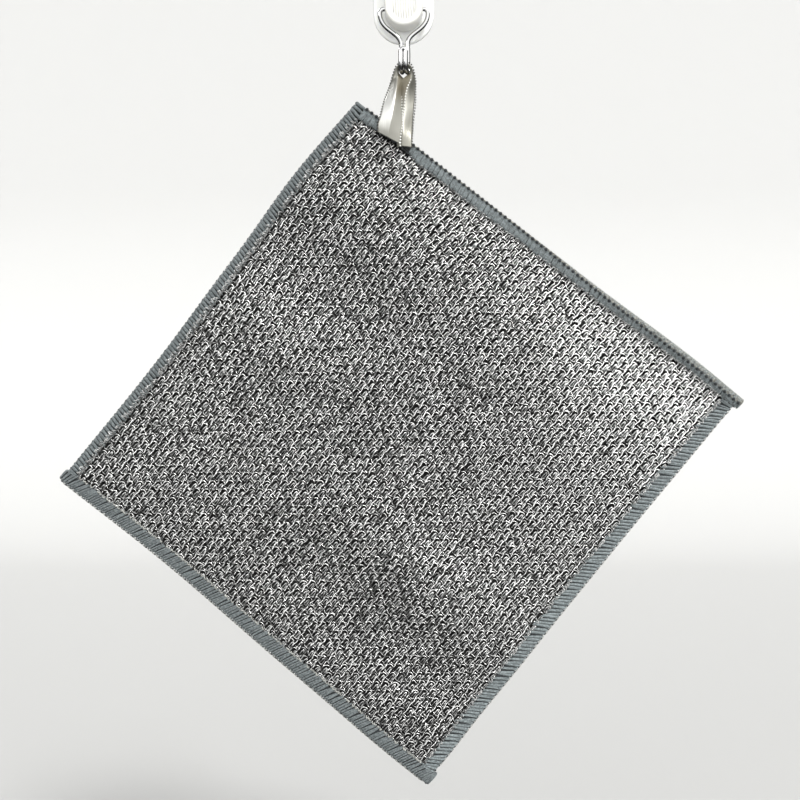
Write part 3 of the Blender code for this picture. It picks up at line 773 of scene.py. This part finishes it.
ribbon = {
    "width": 10.0,
    "thick": 0.34,
    "steps": 9,  # sections from one row to the next
    "cells": 9,  # across each half of the width
    "foldReach": 1.5,  # how far the rounding of the fold reaches
    # x, y, z of the middle line, directions of the front and back halves, dip, width
    "left": ((-6.2, -15.3, -64.0, 180, 0, 28, 1.0), (-5.9, -16.0, -60.4, 176, 8, 22, 1.0),
             (-4.9, -16.4, -56.0, 162, 30, 12, 1.0), (-3.9, -15.6, -50.0, 150, 56, 5, 1.0),
             (-3.0, -13.4, -43.5, 134, 60, 0, 0.95), (-2.6, -11.6, -38.9, 128, 34, 0, 0.85)),
    "right": ((3.1, -11.4, -38.9, 66, 170, 0, 0.85), (1.0, -11.6, -43.5, 42, 142, 0, 0.95),
              (-0.3, -12.0, -50.0, 20, 118, 3, 0.95), (-0.9, -13.2, -57.0, 26, 128, 5, 1.0),
              (-1.5, -14.0, -62.4, 14, 112, 8, 1.0), (-1.8, -13.9, -67.0, 4, 104, 6, 1.0)),
    "saddleWidth": 4.2, "saddleRadius": 1.6, "saddleTurns": 11,
    "saddleSweep": 75.0,  # degrees to each side of the top
    "wireGap": 0.3,  # from the wire to the ribbon's inner face
    "picotStep": 1.2, "picotRadius": 0.48, "picotThread": (0.28, 0.22),
    "satinPaintedHighlight": (0.72, 0.72, 0.69), "satin": (0.34, 0.335, 0.30),
    # satinDark: painted shade of the satin away from the highlight
    "satinDark": (0.20, 0.195, 0.165),
    "satinFold": (0.245, 0.24, 0.21),  # of the back half that shows past the fold, darker as painted shade
    "looks": {"Metallic": 0.55, "Sheen Weight": 0.12, "Sheen Roughness": 0.3,
              "Specular IOR Level": 0.9},
    "roughness": 0.33, "foldRoughness": 0.6,
    "toneStops": (0.10, 0.40, 0.85),
    "threads": (500.0, 3.0, (6.0, 1.0, 0.25)),
    "threadShare": 0.25,
    "grain": ((900.0, 2.0, (5.0, 1.0, 0.2)), 0.18, 0.0002),
    "edgeShadeThread": ((0.3, (0.03, 0.028, 0.024)), (0.7, (0.09, 0.085, 0.075))),
    "knotThread": ((0.3, (0.70, 0.70, 0.65)), (0.7, (0.92, 0.92, 0.88))),
    "paintedHighlightAt": (-7.3, -16.0, -50.5),  # middle of the painted highlight, and how far it reaches
    "paintedHighlightReach": (10.5, 30.0, 15.0),
    "foldShade": (0.13, 0.115, 0.08),  # of the inside of the fold, high up between the legs
    "shadeTop": -43.0, "shadeBottom": -50.0,
    "shadeEnd": -36.5,  # where the fold ends
    "middle": (-3.0, -8.0, -50.0),  # the edge loops turn away from here
    "easedSections": 5,  # on each side of a join
}
legSteps = (len(ribbon["left"]) - 1) * ribbon["steps"]
wire = {
    "radius": 0.95,
    "depth": 6.5,  # from the wall to the hanging legs
    "endX": 5.6, "pivotZ": -8.3,
    "bowHalf": 10.0, "bowCorner": 1.7, "bowTurnZ": -17.4,
    "neckHalf": 1.35, "neckTurnZ": -17.8, "neckZ": -23.0,
    "legHalf": 1.03,
    "throatRadius": 3.4, "throatZ": -32.1,
    "tipZ": -27.9,
    "shift": 0.2, "twist": 9.0,  # of the hanging part, to the right and in degrees
    "sides": 24,
    "colour": (0.56, 0.56, 0.555), "roughness": 0.07,
    "grain": ((160.0, 2.0), 0.05, 0.0002),
}


def smoothRows(rows, steps):
    # a smooth curve through the rows, with so many steps from each row to the next
    rows = np.array([rows[0], *rows, rows[-1]], float)[:, None]
    before, start, end, after = rows[:-3], rows[1:-2], rows[2:-1], rows[3:]
    share = (np.arange(steps) / steps)[:, None]
    value = 2 * start + (end - before) * share
    value = value + (2 * before - 5 * start + 4 * end - after) * share ** 2
    value = value + (3 * start - before - 3 * end + after) * share ** 3
    return np.concatenate([value.reshape(-1, rows.shape[-1]) / 2, rows[-1]])


def legSections(rows):
    x, y, z, *angles, dip, width = smoothRows(rows, ribbon["steps"]).T
    ways = []
    for turn in np.radians(angles):
        fall = np.radians(dip) * np.cos(turn)
        way = np.stack([np.cos(turn) * np.cos(fall), np.sin(turn), -np.sin(fall)], -1)
        ways.append(unit(way)[:, None])
    k = np.arange(-ribbon["cells"], ribbon["cells"] + 1)
    away = abs(k) / ribbon["cells"] * (ribbon["width"] / 2 * width)[:, None]
    rounding = ribbon["foldReach"] / 4 * np.clip(1 - away / ribbon["foldReach"], 0.0, None) ** 2
    frontHalf = (k < 0)[:, None]
    way, other = np.where(frontHalf, *ways), np.where(frontHalf, *ways[::-1])
    middle = np.stack([x, y, z], -1)[:, None]
    return middle + way * (away + rounding)[..., None] + other * rounding[..., None]


def twisted(points):
    # the hanging part of the hook is turned a little about its own upright axis
    share = ease((wire["bowTurnZ"] - points[..., 2]) / (wire["bowTurnZ"] - wire["throatZ"]))
    angle = -math.radians(wire["twist"]) * share
    axisY = -(wire["depth"] + wire["throatRadius"])
    x, y = points[..., 0], points[..., 1] - axisY
    turnedX = x * np.cos(angle) - y * np.sin(angle) + wire["shift"] * share
    turnedY = x * np.sin(angle) + y * np.cos(angle) + axisY
    return np.stack([turnedX, turnedY, points[..., 2]], -1)


def saddleSections():
    centre = row(0, -(wire["depth"] + wire["throatRadius"]), wire["throatZ"] - wire["throatRadius"])
    standoff = wire["radius"] + ribbon["wireGap"] + 0.5
    radius = ribbon["saddleRadius"]
    turn = np.linspace(-ribbon["saddleSweep"], ribbon["saddleSweep"], ribbon["saddleTurns"])[:, None]
    across = ribbon["saddleWidth"] / 2 * np.linspace(-1.0, 1.0, 2 * ribbon["cells"] + 1)
    size = np.minimum(abs(across), radius * math.pi / 2)
    away = standoff + radius * (1 - np.cos(size / radius)) + abs(across) - size
    x = wire["legHalf"] * np.clip(turn / 15.0, -1.0, 1.0) + np.sin(np.radians(turn)) * away
    y = np.broadcast_to(np.copysign(radius * np.sin(size / radius), across), x.shape)
    return twisted(centre + np.stack([x, y, np.cos(np.radians(turn)) * away], -1))


def satinMaterial():
    material, shader = newMaterial("white satin", ribbon["satin"], ribbon["roughness"], ribbon["looks"])
    # painted highlight and shade: a round gradient by place on the ribbon makes the left leg whitest in
    # its middle, and darker away from it
    place = {"Vector": addNode(material, "ShaderNodeTexCoord").outputs["Object"],
             "Location": Vector(ribbon["paintedHighlightAt"]) * mm, "Scale": Vector(ribbon["paintedHighlightReach"]) * mm}
    place = addNode(material, "ShaderNodeMapping", place, vector_type="TEXTURE").outputs["Vector"]
    spread = addNode(material, "ShaderNodeTexGradient", {"Vector": place}, gradient_type="SPHERICAL")
    threads = objectNoise(material, *ribbon["threads"])
    total = {0: threads, 1: ribbon["threadShare"], 2: spread.outputs["Fac"]}
    total = addNode(material, "ShaderNodeMath", total, operation="MULTIPLY_ADD").outputs["Value"]
    tones = tuple(zip(ribbon["toneStops"], (ribbon["satinDark"], ribbon["satin"], ribbon["satinPaintedHighlight"])))
    return coloured(material, shader, total, tones, ribbon["grain"])


def shadedSatin():
    # painted shade inside the fold: brown between the legs, fading lower down to a satin darker than the
    # front half
    name = "satin inside the fold"
    material, shader = newMaterial(name, ribbon["foldShade"], ribbon["foldRoughness"])
    shade = grownAlong(material, "Z", ribbon["shadeBottom"], ribbon["shadeTop"])
    tones = ((0.0, ribbon["satinFold"]), (1.0, ribbon["foldShade"]))
    return coloured(material, shader, shade, tones, ribbon["grain"])


def buildRibbon():
    grid = legSections(ribbon["left"]), saddleSections(), legSections(ribbon["right"])
    grid = np.concatenate(grid)
    smoothed = grid.copy()
    for _ in range(3):  # eases the joins between the legs and the saddle
        smoothed[1:-1] = 0.5 * smoothed[1:-1] + 0.25 * (smoothed[:-2] + smoothed[2:])
    count, wide = grid.shape[:2]
    index = np.arange(count)
    away = np.minimum(abs(index - legSteps), abs(index - (count - 1 - legSteps)))
    near = np.clip(1 - away / ribbon["easedSections"], 0.0, None)
    grid = grid + (smoothed - grid) * near[:, None, None]
    downward, across = np.gradient(grid, axis=0), np.gradient(grid, axis=1)
    off = unit(np.cross(downward, across)) * ribbon["thick"] / 2
    piece = addPiece("ribbonLoop", *closedSheet(grid + off, grid - off), satinMaterial(), "satin_ribbon")
    piece.data.materials.append(shadedSatin())
    # painted shade: the back half's faces past the fold, below where it ends, take the shaded satin
    for face in piece.data.polygons:
        column = min(corner % (count * wide) % wide for corner in face.vertices)
        if column >= wide // 2 and face.normal.y < 0 and face.center.z / mm < ribbon["shadeEnd"]:
            face.material_index = 1
    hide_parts("ribbon_loop")
    length = np.linalg.norm(np.diff(grid[:, wide // 2], axis=0), axis=1).sum()
    picots = buildPicots(grid)
    print("ribbon loop made")
    return piece, picots, length * mm


def picotRow(line):
    # tiny thread loops along one edge of the ribbon, turned away from its middle
    lengths = np.concatenate([[0.0], np.cumsum(np.linalg.norm(np.diff(line, axis=0), axis=1))])
    places = np.arange(0.6, lengths[-1] - 0.4, ribbon["picotStep"])
    inward = unit(row(*ribbon["middle"]) - line)
    columns = np.concatenate([line, inward], -1).T
    between = np.stack([np.interp(places, lengths, column) for column in columns], -1)
    middles, ways = between[:, :3], unit(between[:, 3:])
    ahead = unit(np.gradient(middles, axis=0))
    share = np.linspace(-1.0, 1.0, 5)[None, :, None]
    radius = ribbon["picotRadius"]
    paths = middles[:, None] + ahead[:, None] * share * radius * 0.3
    paths = paths - ways[:, None] * (0.5 + (1 - share ** 2)) * radius
    sideways = np.broadcast_to(np.cross(ahead, ways)[:, None], paths.shape)
    return tubes(paths, sideways, *ribbon["picotThread"], 5)


def buildPicots(grid):
    # the woven edge of the ribbon shows as a row of tiny thread loops; the outer edge's loops are near
    # black, painted shade of the gaps between them, and the knots are white thread
    dark = mottled("ribbon edge thread in painted shade", ribbon["edgeShadeThread"], (2500.0, 3.0), 0.8)
    white = mottled("ribbon knot thread", ribbon["knotThread"], (2500.0, 3.0), 0.5)
    knots = joined([picotRow(grid[:legSteps, -1]), picotRow(grid[-legSteps:, grid.shape[1] // 2])])
    return [addPiece("ribbonEdgeLoops", *picotRow(grid[:, 0]), dark, "satin_ribbon"),
            addPiece("ribbonKnots", *knots, white, "satin_ribbon")]


# the wire hook

def arcPoints(centre, startWay, ahead, radius, steps, sweep=90.0):
    turns = np.radians(np.linspace(0.0, sweep, steps + 1))[:, None]
    return centre + (startWay * np.cos(turns) + ahead * np.sin(turns)) * radius


def curvePoints(a, b, c, d, steps):
    t = (np.arange(1, steps + 1) / steps)[:, None]
    return a * (1 - t) ** 3 + 3 * b * (1 - t) ** 2 * t + 3 * c * (1 - t) * t ** 2 + d * t ** 3


def halfHook():
    left, up = row(-1, 0, 0), row(0, 0, 1)
    depth = row(0, -wire["depth"], 0)
    ends = [(depth + row(-wire["endX"], 0, wire["pivotZ"]))[None]]
    corner = depth + row(wire["bowCorner"] - wire["bowHalf"], 0, wire["pivotZ"] - wire["bowCorner"])
    ends.append(arcPoints(corner, up, left, wire["bowCorner"], 10))
    bow = ends[-1][-1]
    turn = depth + row(-wire["bowHalf"], 0, wire["bowTurnZ"])
    neckTurn = depth + row(-wire["neckHalf"], 0, wire["neckTurnZ"])
    neck = depth + row(-wire["neckHalf"], 0, wire["neckZ"])
    ends.append(curvePoints(bow, turn, neckTurn, neck, 28))
    throat = depth + row(-wire["legHalf"], 0, wire["throatZ"]) + front * wire["throatRadius"]
    legEnd = throat - front * wire["throatRadius"]
    ends.append(curvePoints(neck, neck - up * 3, legEnd + up * 3, legEnd, 8)[:-1])
    ends.append(arcPoints(throat, -front, -up, wire["throatRadius"], 40, 180.0))
    tip = depth + front * 2 * wire["throatRadius"] + row(0, 0, wire["tipZ"])
    ends.append(arcPoints(tip, left, up, wire["legHalf"], 12))
    return np.concatenate(ends)


def buildWire():
    looks = {"Metallic": 1.0}
    material, shader = newMaterial("polished wire", wire["colour"], wire["roughness"], looks)
    addGrain(material, shader, *wire["grain"])
    half = halfHook()
    points = twisted(np.concatenate([half, (half * row(-1, 1, 1))[-2::-1]]))
    curve = bpy.data.curves.new("hookWire", "CURVE")
    curve.dimensions = "3D"
    curve.bevel_depth = wire["radius"] * mm
    curve.bevel_resolution = wire["sides"] // 4
    curve.use_fill_caps = True
    spline = curve.splines.new("POLY")
    spline.points.add(len(points) - 1)
    for spot, point in zip(spline.points, points):
        spot.co = (*(point * mm), 1.0)
    spline.use_smooth = True
    curve.materials.append(material)
    piece = addItem("hookWire", curve)
    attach(piece, "root")
    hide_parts("hook_wire")
    print("wire hook made")


# the hook's moulded body and wall plate

hook = {
    "arcSteps": 28,
    # how far the back's edge is drawn in, how high it is, and the rounding of the front's edge
    "bodyEdges": (0.4, 0.25, 1.0),
    "plateEdges": (0.3, 0.15, 0.9),
    "panelWidth": 10.1, "panelHeight": 28.6, "panelDepth": 0.6, "panelRounding": 0.25,
    "panelEdge": 0.3,  # from the panel's side to the ribs' ends
    "ribs": 9, "ribHalf": 0.30, "ribHigh": 0.34,
    # colour and roughness
    "white": ((0.68, 0.675, 0.64), 0.28),
    "plateWhite": ((0.90, 0.905, 0.89), 0.2),
    "looks": {"Coat Weight": 0.25, "Coat Roughness": 0.08, "Subsurface Weight": 0.15,
              "Subsurface Radius": (0.003, 0.003, 0.002)},
    "mottle": (120.0, 2.0), "mottleShade": 0.95,
    "grain": ((900.0, 2.0), 0.04, 0.0001),
    "sharpFrom": 35.0,  # degrees
}


def pillRing(width, height, y, centreZ):
    radius = width / 2
    turn = np.linspace(0.0, math.pi, hook["arcSteps"] + 1)
    x, z = radius * np.cos(turn), max(0.0, height / 2 - radius) + radius * np.sin(turn)
    upper = np.stack([x, np.full_like(x, y), z], -1)
    return np.concatenate([upper, upper * row(-1, 1, -1)]) + row(0, 0, centreZ)


def rounded(width, height, y, radius, centreZ, steps=5, inward=True):
    # rings round an edge: from the side wall to the face (inward), or from the face into a recess
    rings = []
    for k in range(steps + 1):
        turn = math.pi / 2 * k / steps
        drawn, sunk = radius * (1 - math.cos(turn)), radius * (1 - math.sin(turn))
        if not inward:
            drawn, sunk = -sunk, drawn
        rings.append(pillRing(width - 2 * drawn, height - 2 * drawn, y + sunk, centreZ))
    return rings


def pillShell(box, drawn, backStep, rounding):
    # the rings of a pill-shaped moulding from its back to its front face
    low, high = (corner / mm for corner in box)
    width, height, middle = high.x - low.x, high.z - low.z, (low.z + high.z) / 2
    rings = [pillRing(width - drawn, height - drawn, high.y, middle)]
    rings.append(pillRing(width, height, high.y - backStep, middle))
    return rings + rounded(width, height, low.y, rounding, middle), low.y, middle


def glossWhite(name, colour, roughness):
    darker = tuple(channel * hook["mottleShade"] for channel in colour)
    stops = ((0.3, darker), (0.7, colour))
    return mottled(name, stops, hook["mottle"], roughness, hook["looks"], hook["grain"])


def buildRibs(floorY, middle, material):
    # low upright ribs on the panel's floor, each as long as the panel is there
    width, straight = hook["panelWidth"], (hook["panelHeight"] - hook["panelWidth"]) / 2
    step = width / (hook["ribs"] + 0.6)
    parts = []
    for i in range(hook["ribs"]):
        x = (i - (hook["ribs"] - 1) / 2) * step
        edge = math.sqrt((width / 2 - hook["panelEdge"]) ** 2 - x * x)
        reach = straight + edge - hook["panelEdge"]
        z = np.linspace(-reach, reach, 9)
        path = np.stack([np.full(9, x), np.full(9, floorY - 0.02), middle + z], -1)[None]
        swell = np.minimum(1.0, 0.35 + 4 * (1 - np.abs(z) / reach))
        across = np.broadcast_to(row(1, 0, 0), path.shape)
        parts.append(tubes(path, across, hook["ribHalf"] * swell, hook["ribHigh"] * swell, 10))
    addPiece("hookPanelRibs", *joined(parts), material, "white_plastic")


def buildHook():
    white = glossWhite("white moulded plastic", *hook["white"])
    rings, faceY, middle = pillShell(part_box("hook_body"), *hook["bodyEdges"])
    panel = hook["panelWidth"], hook["panelHeight"]
    floorY = faceY + hook["panelDepth"]
    rings += rounded(*panel, faceY, hook["panelRounding"], middle, 3, False)
    rings.append(pillRing(*panel, floorY, middle))
    body = addPiece("hookBody", *loft(rings), white, "white_plastic")
    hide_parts("hook_body")
    buildRibs(floorY, middle, white)
    rings, faceY, middle = pillShell(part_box("hook_base"), *hook["plateEdges"])
    white = glossWhite("plate plastic", *hook["plateWhite"])
    plate = addPiece("hookPlate", *loft(rings), white, "plate_plastic")
    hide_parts("hook_base")
    for piece in (body, plate):
        piece.data.set_sharp_from_angle(angle=math.radians(hook["sharpFrom"]))
    print("hook body and plate made")


# studio: a pale sweep of floor and backdrop, soft lights, and the camera

studio = {
    "floorZ": -0.46,
    "backY": 2.2,
    "sweepRadius": 0.8,
    "sweepReach": 4.0,  # to the front and to each side
    "sweepTop": 3.0, "sweepSteps": 16,
    "pale": (0.50, 0.50, 0.492),
    "shell": (0.80, 0.80, 0.79), "shellRadius": 7.0,
    # the room's own light, from the dark end to the bright end of its fade
    "roomBright": (0.28, -0.80, 0.52),
    "room": ((0.0, (0.03, 0.03, 0.03)), (0.66, (0.06, 0.06, 0.06)), (0.80, (0.59, 0.60, 0.61)),
             (0.92, (1.7, 1.7, 1.7))),
    "roomLight": 1.1,
    # name, where it shines from, strength, softness in degrees, colour
    "suns": (("key", (0.42, -0.76, 0.84), 2.4, 14.0, (1.0, 0.995, 0.98)),
             ("window", (-0.80, -0.48, 0.36), 0.70, 20.0, (1.0, 1.0, 1.0)),
             ("fill", (-0.9, -0.8, 0.1), 0.30, 60.0, (0.97, 0.98, 1.0)),
             ("behind left", (-0.6, 0.9, 0.9), 1.5, 26.0, (1.0, 1.0, 1.0)),
             ("behind right", (0.9, 0.8, 0.8), 1.2, 26.0, (1.0, 1.0, 1.0))),
    "cameraPlace": (-0.0016, -0.462, -0.1714),
    "lens": 49.1,
    "sensor": 36.0,
    "nearest": 0.01,
}


def buildSweep():
    radius, reach, floorZ = studio["sweepRadius"], studio["sweepReach"], studio["floorZ"]
    start = studio["backY"] - radius
    profile = [(-reach, floorZ), (start, floorZ)]
    for k in range(1, studio["sweepSteps"] + 1):
        turn = math.pi / 2 * k / studio["sweepSteps"]
        profile.append((start + radius * math.sin(turn), floorZ + radius * (1 - math.cos(turn))))
    profile.append((studio["backY"], studio["sweepTop"]))
    points = [(x, y, z) for y, z in profile for x in (-reach, reach)]
    faces = [(2 * i, 2 * i + 1, 2 * i + 3, 2 * i + 2) for i in range(len(profile) - 1)]
    material, _ = newMaterial("pale studio paper", studio["pale"], 0.9)
    sweep = addMesh("paperSweep", points, faces, material)
    sweep.visible_glossy = False


def buildShell():
    # a far pale shell, so that the room looks pale from every side; it lights nothing
    glow = {"Emission Color": (*studio["shell"], 1.0), "Emission Strength": 1.0}
    material, _ = newMaterial("pale room shell", (0.0, 0.0, 0.0), 1.0, glow)
    shell = addMesh("roomShell", [], [], material)
    ball = bmesh.new()
    bmesh.ops.create_icosphere(ball, subdivisions=4, radius=studio["shellRadius"])
    ball.to_mesh(shell.data)
    ball.free()
    shell.visible_glossy = False
    shell.visible_diffuse = False
    shell.visible_transmission = False
    shell.visible_shadow = False


def buildStudio():
    buildSweep()
    buildShell()
    world = bpy.data.worlds.new("pale room")
    world.use_nodes = True
    background = world.node_tree.nodes["Background"]
    setInputs(background, {"Strength": studio["roomLight"]})
    way = addNode(world, "ShaderNodeTexCoord").outputs["Generated"]
    bright = Vector(studio["roomBright"]).normalized()
    toward = addNode(world, "ShaderNodeVectorMath", {0: way, 1: bright}, operation="DOT_PRODUCT")
    spread = {"Value": toward.outputs["Value"], "From Min": -1.0}
    spread = addNode(world, "ShaderNodeMapRange", spread).outputs["Result"]
    setInputs(background, {"Color": colourRamp(world, spread, studio["room"])})
    scene.world = world
    for name, place, strength, softness, colour in studio["suns"]:
        lamp = bpy.data.lights.new(name, "SUN")
        lamp.energy = strength
        lamp.angle = math.radians(softness)
        lamp.color = colour
        way = -Vector(place)
        addItem(name, lamp).rotation_euler = way.to_track_quat("-Z", "Y").to_euler()
    camera = bpy.data.cameras.new("camera")
    camera.lens = studio["lens"]
    camera.sensor_width = studio["sensor"]
    camera.clip_start = studio["nearest"]
    scene.camera = addItem("camera", camera)
    scene.camera.location = studio["cameraPlace"]
    scene.camera.rotation_euler = (math.pi / 2, 0.0, 0.0)
    scene.view_settings.view_transform = "Standard"
    print("studio ready")


buildStudio()
sheet = buildGround()
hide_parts("mesh_cloth")
netPieces = buildNets()
edgingPieces = buildEdging()
loop, picots, loopLength = buildRibbon()
buildWire()
buildHook()

print("all pieces made")
